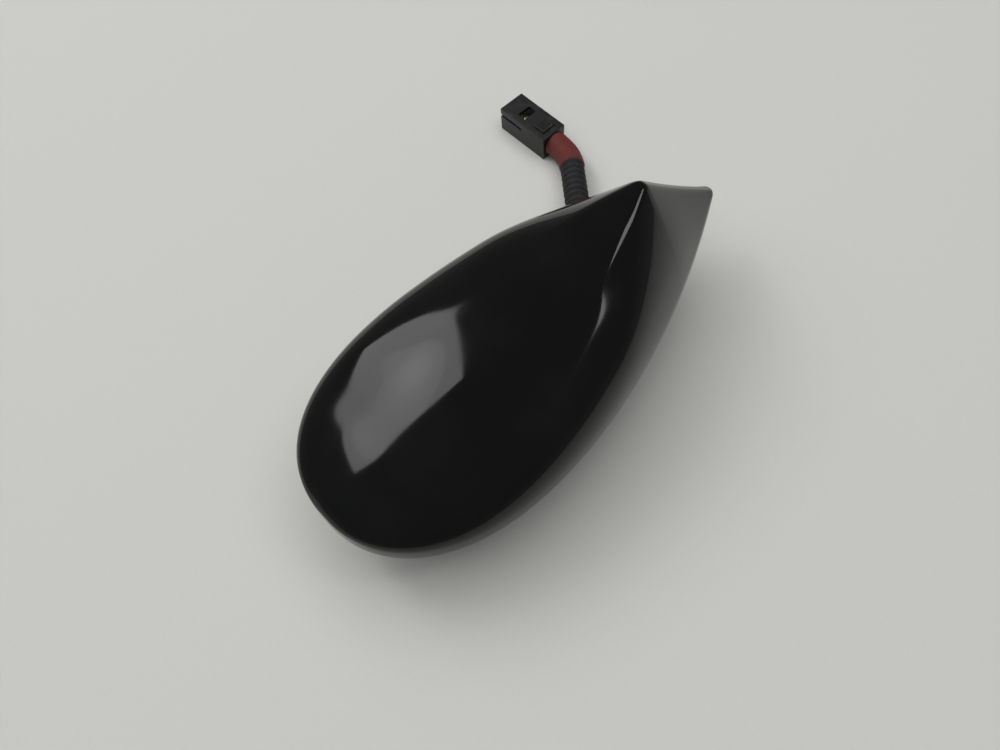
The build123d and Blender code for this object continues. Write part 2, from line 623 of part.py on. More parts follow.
# Connector shell: a moulded block with an open socket, a latch window and a keyed lock seat
mouth_plane = Plane(connector_back + (0, -CONNECTOR_LENGTH, 0), x_dir=(1, 0, 0), z_dir=(0, 1, 0))
floor_plane = mouth_plane.offset(SOCKET_DEPTH)
connector_top = connector_back.Z + CONNECTOR_HEIGHT / 2
with BuildPart() as connector_shell:
    with BuildSketch(mouth_plane):
        RectangleRounded(CONNECTOR_WIDTH, CONNECTOR_HEIGHT, CONNECTOR_ROUND)
    extrude(amount=CONNECTOR_LENGTH)
    with BuildSketch(mouth_plane):
        width, height = CONNECTOR_WIDTH - 2 * CONNECTOR_WALL, CONNECTOR_HEIGHT - 2 * CONNECTOR_WALL
        Rectangle(width, height)
    extrude(amount=SOCKET_DEPTH, mode=Mode.SUBTRACT)
    with Locations(floor_plane):
        Cylinder(FERRULE_RADIUS + SLIP, FERRULE_SEAT, align=BOTTOM, mode=Mode.SUBTRACT)
    mouth = mouth_plane.origin
    with Locations((mouth.X, mouth.Y + WINDOW_FROM_MOUTH, connector_top)):
        Box(WINDOW_WIDTH, WINDOW_LENGTH, 2 * CONNECTOR_WALL, mode=Mode.SUBTRACT)
    with Locations((mouth.X, connector_back.Y - LOCK_LENGTH, connector_top)):
        Box(LOCK_WIDTH + 2 * SLIP, LOCK_LENGTH + 2 * SLIP, 2 * LOCK_DEPTH, mode=Mode.SUBTRACT)
save(connector_shell, "connector_shell")

# Connector lock: a slide that snaps into the top of the shell behind the window
with BuildPart() as connector_lock:
    with Locations((mouth.X, connector_back.Y - LOCK_LENGTH, connector_top - LOCK_DEPTH)):
        Box(LOCK_WIDTH, LOCK_LENGTH, LOCK_DEPTH + LOCK_PROUD, align=BOTTOM)
    chamfer(connector_lock.faces().sort_by(Axis.Z)[-1].edges(), LOCK_PROUD / 2)
save(connector_lock, "connector_lock")

# Ferrule, insulator and centre pin: the coaxial contact in the socket
contact_plane = floor_plane.offset(-FERRULE_REACH)
contact_length = FERRULE_REACH + FERRULE_SEAT
with BuildPart() as ferrule:
    with Locations(contact_plane):
        Cylinder(FERRULE_RADIUS, contact_length, align=BOTTOM)
        Cylinder(FERRULE_RADIUS - FERRULE_WALL, contact_length, align=BOTTOM, mode=Mode.SUBTRACT)
save(ferrule, "ferrule")
with BuildPart() as contact_insulator:
    with Locations(floor_plane):
        Cylinder(FERRULE_RADIUS - FERRULE_WALL - SLIP, FERRULE_SEAT, align=BOTTOM)
        Cylinder(PIN_RADIUS + SLIP, FERRULE_SEAT, align=BOTTOM, mode=Mode.SUBTRACT)
save(contact_insulator, "contact_insulator")
with BuildPart() as contact_pin:
    with Locations(contact_plane.offset(FERRULE_REACH / 4)):
        Cylinder(PIN_RADIUS, contact_length - FERRULE_REACH / 4, align=BOTTOM)
save(contact_pin, "contact_pin")
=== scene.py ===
from math import acos, cos, hypot, pi, radians, sin, sqrt, tan

import bpy
from mathutils import Matrix, Vector


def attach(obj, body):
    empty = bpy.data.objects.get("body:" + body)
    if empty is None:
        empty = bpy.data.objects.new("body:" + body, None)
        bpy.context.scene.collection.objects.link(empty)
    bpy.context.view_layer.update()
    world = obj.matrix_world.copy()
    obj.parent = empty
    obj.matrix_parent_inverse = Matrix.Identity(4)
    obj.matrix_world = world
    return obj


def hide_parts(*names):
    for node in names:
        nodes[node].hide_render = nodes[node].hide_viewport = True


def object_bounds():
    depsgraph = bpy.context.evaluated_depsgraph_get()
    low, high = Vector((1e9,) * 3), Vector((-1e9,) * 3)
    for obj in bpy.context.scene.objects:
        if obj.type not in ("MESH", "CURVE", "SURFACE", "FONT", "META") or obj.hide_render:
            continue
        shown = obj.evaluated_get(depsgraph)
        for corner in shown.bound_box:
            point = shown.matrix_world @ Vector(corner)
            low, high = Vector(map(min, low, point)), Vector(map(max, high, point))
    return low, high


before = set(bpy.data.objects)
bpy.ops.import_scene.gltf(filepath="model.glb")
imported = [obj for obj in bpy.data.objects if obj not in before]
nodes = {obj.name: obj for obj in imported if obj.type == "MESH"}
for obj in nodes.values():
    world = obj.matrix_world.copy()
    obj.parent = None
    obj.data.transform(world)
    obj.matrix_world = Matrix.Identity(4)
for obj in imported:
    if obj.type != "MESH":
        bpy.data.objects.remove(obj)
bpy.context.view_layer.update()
bpy.ops.object.select_all(action="DESELECT")

# Base plate: a zinc-aluminium die casting that closes the fin from below. Its pedestal goes
# through the roof. It is shot-blasted, so it is matt, with a fine cast grain and darker hollows.
MM = 0.001


class Shade:
    """A socket of one material, so that shader maths reads as plain expressions."""

    def __init__(self, tree, socket):
        self.tree = tree
        self.socket = socket

    def node(self, kind, settings=None, out=0, **inputs):
        """Adds any node: its settings first, then the values or links of its sockets."""
        made = self.tree.nodes.new(kind)
        for name, value in (settings or {}).items():
            setattr(made, name, value)
        for name, value in inputs.items():
            key = int(name[1:]) if name[1:].isdigit() else name.replace("_", " ")
            socket = made.inputs[key]
            if isinstance(value, Shade):
                self.tree.links.new(value.socket, socket)
            else:
                socket.default_value = value
        return Shade(self.tree, made.outputs[out])

    def maths(self, operation, first, second):
        return self.node("ShaderNodeMath", {"operation": operation}, i0=first, i1=second)

    def __add__(self, other):
        return self.maths("ADD", self, other)

    def __radd__(self, other):
        return self.maths("ADD", other, self)

    def __sub__(self, other):
        return self.maths("SUBTRACT", self, other)

    def __rsub__(self, other):
        return self.maths("SUBTRACT", other, self)

    def __mul__(self, other):
        return self.maths("MULTIPLY", self, other)

    def __rmul__(self, other):
        return self.maths("MULTIPLY", other, self)

    def between(self, low, high):
        """0 below low and 1 above high, smooth between."""
        return self.node(
            "ShaderNodeMapRange", {"interpolation_type": "SMOOTHSTEP"}, i0=self, i1=low, i2=high
        )

    def mix(self, low, high):
        """From colour low to colour high, by this value."""
        return self.node(
            "ShaderNodeMix", {"data_type": "RGBA"}, out=2, i0=self, i6=low, i7=high
        )

    def noise(self, scale, detail):
        """Cloudy noise on a coordinate, 0 to 1; scale counts features in a metre."""
        return self.node("ShaderNodeTexNoise", i0=self, Scale=scale, Detail=detail)

    def bump(self, strength, depth):
        """A normal pushed by this height."""
        return self.node("ShaderNodeBump", i0=strength, i1=depth, Height=self)


def finish(name, **constants):
    """A new material with its constants set; gives it, its shader and Object coordinates."""
    material = bpy.data.materials.new(name)
    material.use_nodes = True
    tree = material.node_tree
    shader = tree.nodes["Principled BSDF"]
    for key, value in constants.items():
        shader.inputs[key.replace("_", " ")].default_value = value
    coordinates = tree.nodes.new("ShaderNodeTexCoord")
    return material, shader, Shade(tree, coordinates.outputs["Object"])


def drive(shader, **links):
    """Links expressions to a shader's sockets."""
    for key, value in links.items():
        value.tree.links.new(value.socket, shader.inputs[key.replace("_", " ")])


def dress(material, *names):
    """Gives CAD nodes a material in each of their slots."""
    for name in names:
        for material_slot in nodes[name].material_slots:
            material_slot.material = material


casting, shader, here = finish("base_casting", Metallic=1.0)
grain = here.noise(2600.0, 4.0)
cloud = here.noise(90.0, 3.0)
drive(
    shader,
    Base_Color=(cloud * 0.7 + grain * 0.3).mix((0.30, 0.31, 0.32, 1), (0.50, 0.51, 0.52, 1)),
    Roughness=0.42 + grain * 0.22,
    Normal=grain.bump(0.25, 0.0001),
)
dress(casting, "base_plate")

# Rubber pieces: the rim gasket and the seal round the roof hole are cut from soft black sheet.
# The collar on the conduit is moulded from the same rubber. They are matt and a little dusty.
rubber, shader, here = finish("gasket_rubber", Specular_IOR_Level=0.35)
pores = here.noise(3200.0, 3.0)
dust = here.noise(140.0, 4.0).between(0.5, 0.75)
drive(
    shader,
    Base_Color=dust.mix((0.018, 0.018, 0.019, 1), (0.034, 0.034, 0.035, 1)),
    Roughness=0.62 + pores * 0.2,
    Normal=pores.bump(0.2, 0.00008),
)
dress(rubber, "rim_gasket", "hole_seal", "conduit_collar")

# Clamp and screws: claw, bolt and screws are steel with a bright zinc plating. It is clear to
# slightly yellow, with cloudy patches and fine tool marks.
zinc, shader, here = finish("zinc_steel", Metallic=1.0)
cloud = here.noise(220.0, 4.0)
marks = here.noise(1900.0, 2.0)
drive(
    shader,
    Base_Color=cloud.between(0.3, 0.75).mix((0.50, 0.51, 0.52, 1), (0.66, 0.64, 0.58, 1)),
    Roughness=0.24 + cloud * 0.16 + marks * 0.08,
    Normal=marks.bump(0.12, 0.00005),
)
dress(zinc, "clamp_claw", "cover_screws", "board_screws")

# Mounting bolt: a cold-headed hexagon bolt with a round flange, in the same plated steel. Its
# edges are slightly rounded, and its shank goes up into the pedestal and pulls the claw tight.
bolt_x = 5.5 * MM
flange_top = -13.2 * MM
flange_radius = 6.5 * MM
flange_thick = 1.4 * MM
head_high = 4.6 * MM
head_flats = 10.0 * MM
shank_radius = 3.0 * MM
shank_long = 9.7 * MM
bpy.ops.mesh.primitive_cylinder_add(
    vertices=48,
    radius=flange_radius,
    depth=flange_thick,
    location=(bolt_x, 0, flange_top - flange_thick / 2),
)
bolt_flange = bpy.context.object
bpy.ops.mesh.primitive_cylinder_add(
    vertices=6,
    radius=head_flats / sqrt(3),
    depth=head_high,
    location=(bolt_x, 0, flange_top - flange_thick - head_high / 2),
)
bolt_head = bpy.context.object
bpy.ops.mesh.primitive_cylinder_add(
    vertices=32,
    radius=shank_radius,
    depth=shank_long,
    location=(bolt_x, 0, flange_top + shank_long / 2),
)
bolt_shank = bpy.context.object


def round_edges(piece, width, segments=2, angle=30.0):
    """Bevels a piece's sharp edges and smooths the rest."""
    bpy.ops.object.select_all(action="DESELECT")
    piece.select_set(True)
    bpy.context.view_layer.objects.active = piece
    bevel = piece.modifiers.new("edges", "BEVEL")
    bevel.width = width
    bevel.segments = segments
    bevel.limit_method = "ANGLE"
    bevel.angle_limit = radians(angle)
    bpy.ops.object.modifier_apply(modifier=bevel.name)
    bpy.ops.object.transform_apply(location=True, rotation=True, scale=True)
    bpy.ops.object.shade_smooth_by_angle(angle=radians(35))


def as_piece(piece, name, material, slot, *replaced):
    """Names a finished piece, gives it its material and hands it to the frame."""
    piece.name = name
    piece.data.materials.clear()
    piece.data.materials.append(material)
    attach(piece, "root")
    if replaced:
        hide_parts(*replaced)


round_edges(bolt_flange, 0.45 * MM, 3)
round_edges(bolt_head, 0.4 * MM, 3)
round_edges(bolt_shank, 0.2 * MM)
bpy.ops.object.select_all(action="DESELECT")
for piece in (bolt_head, bolt_shank, bolt_flange):
    piece.select_set(True)
bpy.context.view_layer.objects.active = bolt_flange
bpy.ops.object.join()
as_piece(bolt_flange, "bolt", zinc, "zinc_steel", "mounting_bolt")

# Circuit board: green solder mask over woven glass, with a faint copper pattern below it.
# It lies on the casting's posts, inside the fin.
mask, shader, here = finish("board_green", Coat_Weight=0.4, Coat_Roughness=0.15)
weave = here.noise(1500.0, 2.0)
tracks = here.node("ShaderNodeTexVoronoi", {"feature": "DISTANCE_TO_EDGE"}, i0=here, Scale=420.0)
copper = 1 - tracks.between(0.02, 0.09)
drive(
    shader,
    Base_Color=copper.mix((0.012, 0.075, 0.036, 1), (0.045, 0.16, 0.065, 1)),
    Roughness=0.34 + weave * 0.12,
    Normal=(copper * 0.7 + weave * 0.3).bump(0.2, 0.00006),
)
dress(mask, "circuit_board")

# Tinned sheet: the folded shield can and the upright aerial blade are thin tinned steel, rolled,
# so their grain runs one way and they are satin.
tin, shader, here = finish("tinned_sheet", Metallic=1.0)
along_roll, across_roll = 160.0, 3200.0
stretch = (along_roll, across_roll, across_roll)
rolled = here.node("ShaderNodeVectorMath", {"operation": "MULTIPLY"}, i0=here, i1=stretch)
grain = rolled.noise(1.0, 3.0)
drive(
    shader,
    Base_Color=grain.mix((0.52, 0.53, 0.54, 1), (0.70, 0.71, 0.72, 1)),
    Roughness=0.28 + grain * 0.2,
    Normal=grain.bump(0.1, 0.00004),
)
dress(tin, "shield_can", "fin_radiator")

# Patch aerials: blocks of fired ceramic, cream to tan with fine dark specks. Their electrodes
# are screen-printed silver, a little cloudy.
ceramic, shader, here = finish("ceramic")
specks = here.noise(2400.0, 4.0)
tone = here.noise(130.0, 3.0)
drive(
    shader,
    Base_Color=(tone * 0.6 + specks * 0.4).mix((0.42, 0.34, 0.26, 1), (0.62, 0.54, 0.44, 1)),
    Roughness=0.5 + specks * 0.2,
    Normal=specks.bump(0.15, 0.00005),
)
dress(ceramic, "satellite_patch", "navigation_patch")
silver, shader, here = finish("electrode_silver", Metallic=1.0)
print_grain = here.noise(1700.0, 3.0)
drive(
    shader,
    Base_Color=print_grain.mix((0.66, 0.65, 0.62, 1), (0.80, 0.79, 0.76, 1)),
    Roughness=0.3 + print_grain * 0.2,
    Normal=print_grain.bump(0.1, 0.00003),
)
dress(silver, "satellite_electrode", "navigation_electrode")

# Brass pieces: the feed pins, the feed spring, and the ferrule and pin in the connector.
# They are plain turned or bent brass, slightly tarnished.
brass, shader, here = finish("brass", Metallic=1.0)
tarnish = here.noise(420.0, 4.0)
drive(
    shader,
    Base_Color=tarnish.mix((0.46, 0.33, 0.13, 1), (0.72, 0.55, 0.26, 1)),
    Roughness=0.22 + tarnish * 0.2,
    Normal=tarnish.bump(0.08, 0.00004),
)
dress(brass, "feed_pins", "feed_spring", "ferrule", "contact_pin")

# Moulded plastics inside: the black holder that grips the blade, and the white insulator in
# the connector. Both are matt, with a spark-eroded texture.
for name, dark, pale, target in (
    ("holder_black", (0.022, 0.022, 0.023, 1), (0.036, 0.036, 0.037, 1), "radiator_holder"),
    ("insulator_white", (0.68, 0.67, 0.63, 1), (0.82, 0.81, 0.78, 1), "contact_insulator"),
):
    plastic, shader, here = finish(name)
    sparks = here.noise(2800.0, 3.0)
    drive(
        shader,
        Base_Color=sparks.mix(dark, pale),
        Roughness=0.45 + sparks * 0.2,
        Normal=sparks.bump(0.15, 0.00005),
    )
    dress(plastic, target)

# Coaxial leads: screened leads in black jackets, which are drawn on, so they are smooth and
# slightly glossy. They are soldered to the board and run down into the conduit.
jacket, shader, here = finish("lead_black")
drawn = here.noise(900.0, 2.0)
drive(
    shader,
    Base_Color=drawn.mix((0.014, 0.014, 0.015, 1), (0.026, 0.026, 0.027, 1)),
    Roughness=0.32 + drawn * 0.15,
    Normal=drawn.bump(0.06, 0.00005),
)
dress(jacket, "coax_leads")

# Conduit: a corrugated black nylon tube over the leads, with a rib every 2.5 mm. It comes
# straight out of the collar, curves round to the side and sinks to what the aerial lies on.
exit_turn = radians(25.0)
exit_point = Vector((-12.0, -1.5, -6.5)) * MM
exit_axis = Vector((-cos(exit_turn), -sin(exit_turn), 0))
route_side = Vector((-48.5, -29.0, -10.0)) * MM
sleeve_bend = Vector((-63.4, -46.3, -15.1)) * MM
sleeve_before_bend = 6.5 * MM
sleeve_after_bend = 7.0 * MM
conduit_start = 1.0 * MM
straight_run = 24.3 * MM
sleeve_start = sleeve_bend + (route_side - sleeve_bend).normalized() * sleeve_before_bend
connector_back = sleeve_bend + Vector((0, -sleeve_after_bend, 0))
conduit_route = [
    exit_point + exit_axis * conduit_start,
    exit_point + exit_axis * straight_run,
    route_side,
    sleeve_start,
]
sleeve_route = [sleeve_start, sleeve_bend, connector_back]
conduit_radius = 3.55 * MM
rib_pitch = 2.5 * MM
rib_depth = 0.95 * MM
rib_fullness = 0.9
rings_a_rib = 12


def smooth_path(route):
    """Points along the smooth line of a route, closely spaced."""
    curve = bpy.data.curves.new("route", "CURVE")
    curve.dimensions = "3D"
    curve.resolution_u = 64
    line = curve.splines.new("NURBS")
    line.points.add(len(route) - 1)
    for point, place in zip(line.points, route):
        point.co = (*place, 1)
    line.order_u = 3
    line.use_endpoint_u = True
    holder = bpy.data.objects.new("route", curve)
    bpy.context.collection.objects.link(holder)
    bpy.context.view_layer.update()
    smooth_line = holder.evaluated_get(bpy.context.evaluated_depsgraph_get())
    mesh = bpy.data.meshes.new_from_object(smooth_line)
    points = [vertex.co.copy() for vertex in mesh.vertices]
    bpy.data.objects.remove(holder)
    bpy.data.meshes.remove(mesh)
    return points


def tube_along(points, name, step, radius_at, sides):
    """A closed tube whose radius follows the distance along its line; gives it and its length."""
    reach = [0.0]
    for before, after in zip(points, points[1:]):
        reach.append(reach[-1] + (after - before).length)
    rings = int(reach[-1] / step)
    vertices, faces = [], []
    side = Vector((0, 0, 1))
    spot = 0
    for ring in range(rings + 1):
        along = reach[-1] * ring / rings
        while spot < len(points) - 2 and reach[spot + 1] < along:
            spot += 1
        run = points[spot + 1] - points[spot]
        middle = points[spot] + run * ((along - reach[spot]) / (reach[spot + 1] - reach[spot]))
        run.normalize()
        side = (side - run * side.dot(run)).normalized()
        across = run.cross(side)
        for k in range(sides):
            turn = 2 * pi * k / sides
            out = side * cos(turn) + across * sin(turn)
            vertices.append(middle + out * radius_at(along, turn, reach[-1]))
    for ring in range(rings):
        for k in range(sides):
            a, b = ring * sides + k, ring * sides + (k + 1) % sides
            faces.append((a, b, b + sides, a + sides))
    faces.append(tuple(reversed(range(sides))))
    faces.append(tuple(range(rings * sides, (rings + 1) * sides)))
    mesh = bpy.data.meshes.new(name)
    mesh.from_pydata(vertices, [], faces)
    mesh.update()
    piece = bpy.data.objects.new(name, mesh)
    bpy.context.collection.objects.link(piece)
    bpy.ops.object.select_all(action="DESELECT")
    piece.select_set(True)
    bpy.context.view_layer.objects.active = piece
    bpy.ops.object.shade_smooth_by_angle(angle=radians(50))
    return piece, reach[-1]


def rib(along, turn, length):
    """Round ribs with narrow grooves between them."""
    wave = 0.5 + 0.5 * cos(2 * pi * along / rib_pitch)
    return conduit_radius - rib_depth * (1 - wave**rib_fullness)


conduit_line = smooth_path(conduit_route)
conduit, conduit_length = tube_along(
    conduit_line, "conduit_ribbed", rib_pitch / rings_a_rib, rib, 40
)
nylon, shader, here = finish("conduit_black", Specular_IOR_Level=0.4)
scuff = here.noise(700.0, 4.0).between(0.5, 0.8)
fine = here.noise(3000.0, 2.0)
drive(
    shader,
    Base_Color=scuff.mix((0.016, 0.016, 0.016, 1), (0.030, 0.030, 0.030, 1)),
    Roughness=0.5 + fine * 0.15,
    Normal=fine.bump(0.12, 0.00004),
)
as_piece(conduit, "conduit_ribbed", nylon, "conduit_black", "conduit")

# Red sleeve: a short tube of brick-red rubber pushed over the conduit's end. It is bent towards
# the connector, matt, and wrinkled a little on the inside of the bend.
sleeve_radius = 3.75 * MM
roll_drop = 0.25 * MM
roll_run = 0.5 * MM
wrinkle_height = 0.09 * MM
wrinkle_pitch = 1.35 * MM


def sleeve_skin(along, turn, length):
    """A soft roll at both ends, and slight wrinkles round the bend."""
    end = min(along, length - along)
    roll = -roll_drop * max(0.0, 1 - end / roll_run) ** 2
    bend = max(0.0, 1 - abs(along / length - 0.5) * 2.6)
    wave = sin(2 * pi * along / wrinkle_pitch)
    wrinkle = wrinkle_height * bend * wave * (0.6 + 0.4 * cos(turn - 2.2))
    return sleeve_radius + roll + wrinkle


sleeve_line = smooth_path(sleeve_route)
sleeve, _ = tube_along(sleeve_line, "sleeve", 0.15 * MM, sleeve_skin, 48)
red_rubber, shader, here = finish("sleeve_red", Specular_IOR_Level=0.3)
mottle = here.noise(260.0, 4.0)
pores = here.noise(2600.0, 3.0)
drive(
    shader,
    Base_Color=(mottle * 0.75 + pores * 0.25).mix(
        (0.082, 0.015, 0.013, 1), (0.144, 0.032, 0.028, 1)
    ),
    Roughness=0.55 + pores * 0.2,
    Normal=pores.bump(0.18, 0.00006),
)
as_piece(sleeve, "sleeve", red_rubber, "sleeve_red", "red_sleeve")

# Connector: a moulded black housing with an open socket, a latch window, a slot in each side
# and a lock slide sunk in its top. Its edges are rounded by the mould, and its skin is satin.
connector_wide = 8.8 * MM
connector_high = 8.2 * MM
connector_long = 18.5 * MM
connector_wall = 1.2 * MM
socket_deep = 11.0 * MM
socket_wide = connector_wide - 2 * connector_wall
socket_high = connector_high - 2 * connector_wall
mouth_overrun = 1.0 * MM
seat_deep = 5.0 * MM
seat_radius = 2.35 * MM
seat_overlap = 0.01 * MM
latch_size = (4.6 * MM, 3.0 * MM, 2 * connector_wall)
latch_from_mouth = 7.0 * MM
slot_size = (0.9 * MM, 9.5 * MM, 1.0 * MM)
slot_from_mouth = 4.2 * MM
slot_up = 1.6 * MM
lock_wide, lock_long, lock_high = 5.0 * MM, 4.0 * MM, 1.3 * MM
lock_from_back = 4.0 * MM
lock_play = 0.1 * MM
recess_deep = 0.8 * MM
grip_size = (3.6 * MM, 0.4 * MM, 0.5 * MM)
grip_pitch = 1.0 * MM
grip_up = 1.35 * MM
mouth_y = connector_back.y - connector_long
connector_middle = Vector((connector_back.x, mouth_y + connector_long / 2, connector_back.z))


def block(size, place):
    """A box of a size, with its middle at a place."""
    bpy.ops.object.select_all(action="DESELECT")
    bpy.ops.mesh.primitive_cube_add(size=1, location=place)
    piece = bpy.context.object
    piece.scale = size
    bpy.ops.object.transform_apply(location=True, rotation=True, scale=True)
    return piece


def cut(piece, tool):
    """Takes a tool's shape out of a piece, and deletes the tool."""
    bpy.ops.object.select_all(action="DESELECT")
    piece.select_set(True)
    bpy.context.view_layer.objects.active = piece
    taken = piece.modifiers.new("cut", "BOOLEAN")
    taken.operation = "DIFFERENCE"
    taken.solver = "EXACT"
    taken.object = tool
    bpy.ops.object.modifier_apply(modifier=taken.name)
    bpy.data.objects.remove(tool)


shell = block((connector_wide, connector_long, connector_high), connector_middle)
socket_ahead = (connector_long - socket_deep + mouth_overrun) / 2
socket_middle = connector_middle - Vector((0, socket_ahead, 0))
cut(shell, block((socket_wide, socket_deep + mouth_overrun, socket_high), socket_middle))
seat_y = mouth_y + socket_deep + seat_deep / 2 - seat_overlap
bpy.ops.object.select_all(action="DESELECT")
bpy.ops.mesh.primitive_cylinder_add(
    vertices=40,
    radius=seat_radius,
    depth=seat_deep,
    location=(connector_middle.x, seat_y, connector_middle.z),
    rotation=(pi / 2, 0, 0),
)
cut(shell, bpy.context.object)
top_z = connector_middle.z + connector_high / 2
latch_window = Vector((connector_middle.x, mouth_y + latch_from_mouth, top_z))
cut(shell, block(latch_size, latch_window))
for side in (-1, 1):
    slot_x = connector_middle.x + side * connector_wide / 2
    slot = Vector((slot_x, mouth_y + slot_from_mouth, connector_middle.z + slot_up))
    cut(shell, block(slot_size, slot))
lock_y = connector_back.y - lock_from_back
recess_size = (lock_wide + lock_play, lock_long + lock_play, 2 * recess_deep)
cut(shell, block(recess_size, Vector((connector_middle.x, lock_y, top_z))))
round_edges(shell, 0.22 * MM, 3)
lock_low = top_z - recess_deep
lock_middle = Vector((connector_middle.x, lock_y, lock_low + lock_high / 2))
lock = block((lock_wide, lock_long, lock_high), lock_middle)
for step in (-1, 0, 1):
    grip = Vector((connector_middle.x, lock_y + step * grip_pitch, lock_low + grip_up))
    cut(lock, block(grip_size, grip))
round_edges(lock, 0.12 * MM, 2)
housing, shader, here = finish("connector_black", Specular_IOR_Level=0.45)
sparks = here.noise(2600.0, 3.0)
wear = here.noise(380.0, 4.0).between(0.52, 0.8)
drive(
    shader,
    Base_Color=wear.mix((0.014, 0.014, 0.015, 1), (0.036, 0.036, 0.036, 1)),
    Roughness=0.36 + sparks * 0.2,
    Normal=sparks.bump(0.16, 0.00005),
)
as_piece(shell, "connector_housing", housing, "connector_black", "connector_shell")
as_piece(lock, "connector_slide", housing, "connector_black", "connector_lock")

# Fin cover: one injection moulding in glossy black plastic. A blunt dome grows into an upright
# fin between two creases, and an upright skirt runs round its rim. Its form is made from
# sections across the car, bridged along it, because its gloss shows every flat.
LENGTH = 130.0
HALF_WIDTH = 30.0
NOSE_TO_MOUNT = 62.0
WIDEST_BACK = 41.5
NOSE_POWER = 2.26
TAIL_POWER = 1.79
TAIL_HALF = 1.4
SKIRT_TOP = 4.3
RIM = 1.2
NOSE_RISE = 10.3
NOSE_RUN = 50.0
FIN_RISE = 17.8
FIN_START = 18.5
FIN_POWER = 1.25
TIP_BACK = 100.0
TIP_SHIFT = 0.32
TRAIL_HOLLOW = 0.7
TAIL_RISE = 0.3
SHOULDER_HALF = 13.1
TIP_HALF = 1.1
CREASE_START = 70.0
SPINE_CROWN = 0.03
DOME_FULL = 1.67
FLANK_BULGE = 0.028
MOST_BULGE = 0.9
FLANK_EASE = 10.0
COVER_WALL = 2.0
CREASE_ROUND = 1.8
FOOT_ROUND = 1.3
RIM_ROUND = 0.35
TIP_ROUND = 1.1
TAIL_ROUND = 1.2
CLIMB_SOFT = 0.06
NOSE_FLAT = 3.1
TIP_NEAR = 2.0


def half_width(back, inset):
    """Half the plan width at a distance back from the nose; the tail's corners are rounded."""
    widest = HALF_WIDTH - inset
    if back < WIDEST_BACK:
        share = min(1.0, (WIDEST_BACK - back) / (WIDEST_BACK - inset))
        return widest * (1 - share**NOSE_POWER) ** (1 / NOSE_POWER)
    end = LENGTH - 2 * inset
    share = min(1.0, (back - WIDEST_BACK) / (end - WIDEST_BACK))
    wide = TAIL_HALF + (widest - TAIL_HALF) * (1 - share**TAIL_POWER)
    over = max(0.0, back - end + TAIL_ROUND)
    return wide - TAIL_ROUND + sqrt(max(0.0, TAIL_ROUND**2 - over**2))


def sharp_rise(back, inset):
    """Height of the spine above the skirt, with a sharp tip."""
    tip, end = TIP_BACK - TIP_SHIFT * inset, LENGTH - 2 * inset
    ahead = min(back, tip)
    dome = sqrt(1 - max(0.0, (NOSE_RUN - ahead) / (NOSE_RUN - inset)) ** 2)
    climb = (ahead - FIN_START) / (TIP_BACK - FIN_START)
    climb = (climb + hypot(climb, CLIMB_SOFT)) / 2
    rising = (NOSE_RISE - inset) * dome + FIN_RISE * climb**FIN_POWER
    if back <= tip:
        return rising
    share = min(1.0, (back - tip) / (end - tip))
    return rising + (TAIL_RISE - rising) * share - TRAIL_HOLLOW * 4 * share * (1 - share)


def spine_rise(back, inset):
    """The same with its tip rounded over, by a mean of the heights on both sides."""
    near = min(TIP_ROUND, back - inset, LENGTH - 2 * inset - back)
    shares = (1, 2, 3, 4, 3, 2, 1)
    heights = [sharp_rise(back + near * (i - 3) / 3, inset) for i in range(7)]
    return sum(share * height for share, height in zip(shares, heights)) / sum(shares)


def crease_half(back, inset):
    """Half the width of the spine between its creases."""
    if back < WIDEST_BACK:
        return SHOULDER_HALF / HALF_WIDTH * half_width(back, inset)
    share = min(1.0, (back - WIDEST_BACK) / (TIP_BACK - WIDEST_BACK))
    tip = TIP_HALF * (1 - inset / (2 * COVER_WALL))
    crease = tip + (SHOULDER_HALF * (1 - inset / HALF_WIDTH) - tip) * (1 - share**2)
    return min(crease, TIP_HALF / TAIL_HALF * half_width(back, inset))


def eased(size, back, inset):
    """Mean of a size over a stretch ahead and behind, so that a flank has no fold at the tip."""
    near = max(0.0, min(FLANK_EASE, back - inset, LENGTH - 2 * inset - back))
    steps = range(-4, 5)
    return sum(size(back + near * step / 4, inset) * (5 - abs(step)) for step in steps) / 25


def bezier(points, share):
    """A point on a Bezier curve."""
    while len(points) > 1:
        points = [a.lerp(b, share) for a, b in zip(points, points[1:])]
    return points[0]


def meet(start, start_run, stop, stop_run, otherwise):
    """Where two tangents meet; another point where they are as good as parallel."""
    turn = start_run.normalized().cross(stop_run.normalized())
    if abs(turn) < 0.02:
        return otherwise
    return start + start_run * ((stop - start).cross(stop_run) / start_run.cross(stop_run))


